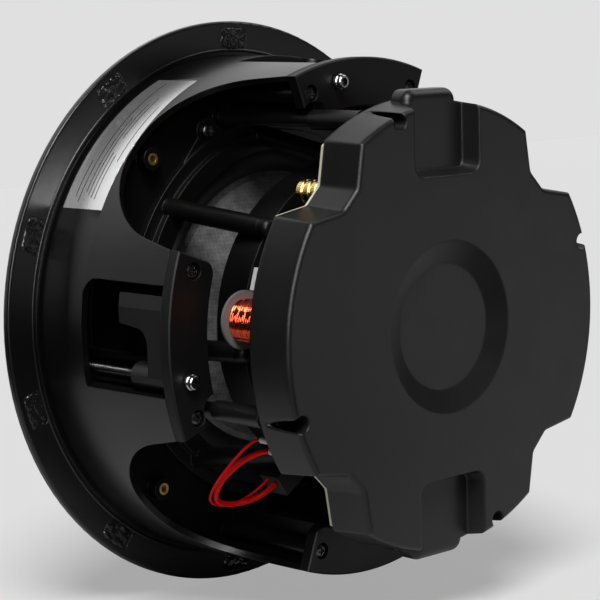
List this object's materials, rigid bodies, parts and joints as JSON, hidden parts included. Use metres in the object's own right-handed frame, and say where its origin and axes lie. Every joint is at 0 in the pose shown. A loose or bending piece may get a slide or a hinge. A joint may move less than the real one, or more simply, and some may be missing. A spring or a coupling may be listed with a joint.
{
  "type": "in-ceiling speaker",
  "caption": "Round in-ceiling speaker with a flanged black frame, swing-out clamps, open basket, woofer and tweeter, crossover board and a notched back cover.",
  "frame": {"origin": "on the speaker's axis, in the plane of the flange's back face, which lies on the ceiling", "axes": "+Z along the axis from the front to the back cover, up into the ceiling; +X and +Y along two of the arms"},
  "size_m": [0.28, 0.28, 0.1503],
  "materials": {
    "frame_plastic": "moulded black, semi-gloss",
    "cap_plastic": "moulded black, semi-gloss",
    "clamp_plastic": "glass-filled nylon, black",
    "screw_black": "black oxide",
    "screw_zinc": "bright zinc",
    "brass_insert": "turned",
    "magnet_steel": "nickel-plated",
    "magnet_cover": "welded covers, black",
    "label_film": "satin silver film",
    "basket_cast": "cast, painted black",
    "terminal_plastic": "moulded",
    "surround_rubber": "matte",
    "cone_weave": "woven glass-fibre",
    "spider_cloth": "impregnated cloth",
    "former_film": "foil",
    "copper_wire": "enamelled copper",
    "plate_steel": "black passivated",
    "ferrite": "ground",
    "tweeter_plastic": "moulded",
    "dome_cloth": "coated silk",
    "post_metal": "painted black",
    "board_laminate": "bare laminate edge",
    "bobbin_plastic": "natural nylon",
    "capacitor_film": "shrink film",
    "resistor_cement": "white cement",
    "post_gilt": "gilt",
    "bush_plastic": "moulded",
    "sleeve_plastic": "natural nylon",
    "lead_red": "silicone sheath",
    "cover_plastic": "finely textured black"
  },
  "bodies": {
    "speaker": {"frame": "frame_plastic", "cap_screws": "screw_black", "brass_inserts": "brass_insert", "grille_magnets": "magnet_steel", "magnet_covers": "magnet_cover", "rating_label": "label_film", "woofer_basket": "basket_cast", "basket_screws": "screw_black", "woofer_terminal": "terminal_plastic", "surround": "surround_rubber", "spider": "spider_cloth", "top_plate": "plate_steel", "ferrite_magnet": "ferrite", "yoke": "plate_steel", "tweeter_housing": "tweeter_plastic", "tweeter_dome": "dome_cloth", "tweeter_post": "plate_steel", "tweeter_nut": "screw_zinc", "cover_posts": "post_metal", "cover_screws": "screw_black", "crossover_board": "board_laminate", "inductor_bobbins": "bobbin_plastic", "inductor_windings": "copper_wire", "capacitors": "capacitor_film", "resistors": "resistor_cement", "binding_posts": "post_gilt", "binding_bushes": "bush_plastic", "lead_sleeves": "sleeve_plastic", "lead_1": "lead_red", "lead_2": "lead_red", "back_cover": "cover_plastic", "clamp_cap_1": "cap_plastic", "clamp_cap_2": "cap_plastic", "clamp_cap_3": "cap_plastic", "clamp_cap_4": "cap_plastic"},
    "screw_1": {"clamp_screw_1": "screw_zinc"},
    "hook_1": {"clamp_1": "clamp_plastic"},
    "screw_2": {"clamp_screw_2": "screw_zinc"},
    "hook_2": {"clamp_2": "clamp_plastic"},
    "screw_3": {"clamp_screw_3": "screw_zinc"},
    "hook_3": {"clamp_3": "clamp_plastic"},
    "screw_4": {"clamp_screw_4": "screw_zinc"},
    "hook_4": {"clamp_4": "clamp_plastic"},
    "moving_cone": {"cone": "cone_weave", "voice_coil_former": "former_film", "voice_coil_winding": "copper_wire"}
  },
  "joints": [
    {"name": "clamp_1_swing", "type": "hinge", "parent": "speaker", "child": "screw_1", "pos_m": [0.11141, 0.01566, 0.0725], "axis": [0, 0, 1], "range_deg": [0, 90]},
    {"name": "clamp_1_draw", "type": "slide", "parent": "screw_1", "child": "hook_1", "axis": [0, 0, -1], "range_m": [0, 0.039]},
    {"name": "clamp_2_swing", "type": "hinge", "parent": "speaker", "child": "screw_2", "pos_m": [-0.01566, 0.11141, 0.0725], "axis": [0, 0, 1], "range_deg": [0, 90]},
    {"name": "clamp_2_draw", "type": "slide", "parent": "screw_2", "child": "hook_2", "axis": [0, 0, -1], "range_m": [0, 0.039]},
    {"name": "clamp_3_swing", "type": "hinge", "parent": "speaker", "child": "screw_3", "pos_m": [-0.11141, -0.01566, 0.0725], "axis": [0, 0, 1], "range_deg": [0, 90]},
    {"name": "clamp_3_draw", "type": "slide", "parent": "screw_3", "child": "hook_3", "axis": [0, 0, -1], "range_m": [0, 0.039]},
    {"name": "clamp_4_swing", "type": "hinge", "parent": "speaker", "child": "screw_4", "pos_m": [0.01566, -0.11141, 0.0725], "axis": [0, 0, 1], "range_deg": [0, 90]},
    {"name": "clamp_4_draw", "type": "slide", "parent": "screw_4", "child": "hook_4", "axis": [0, 0, -1], "range_m": [0, 0.039]},
    {"name": "cone_travel", "type": "slide", "parent": "speaker", "child": "moving_cone", "axis": [0, 0, 1], "range_m": [-0.005, 0.005], "stiffness_N_per_m": 1500, "deforming": ["surround", "spider"]}
  ]
}
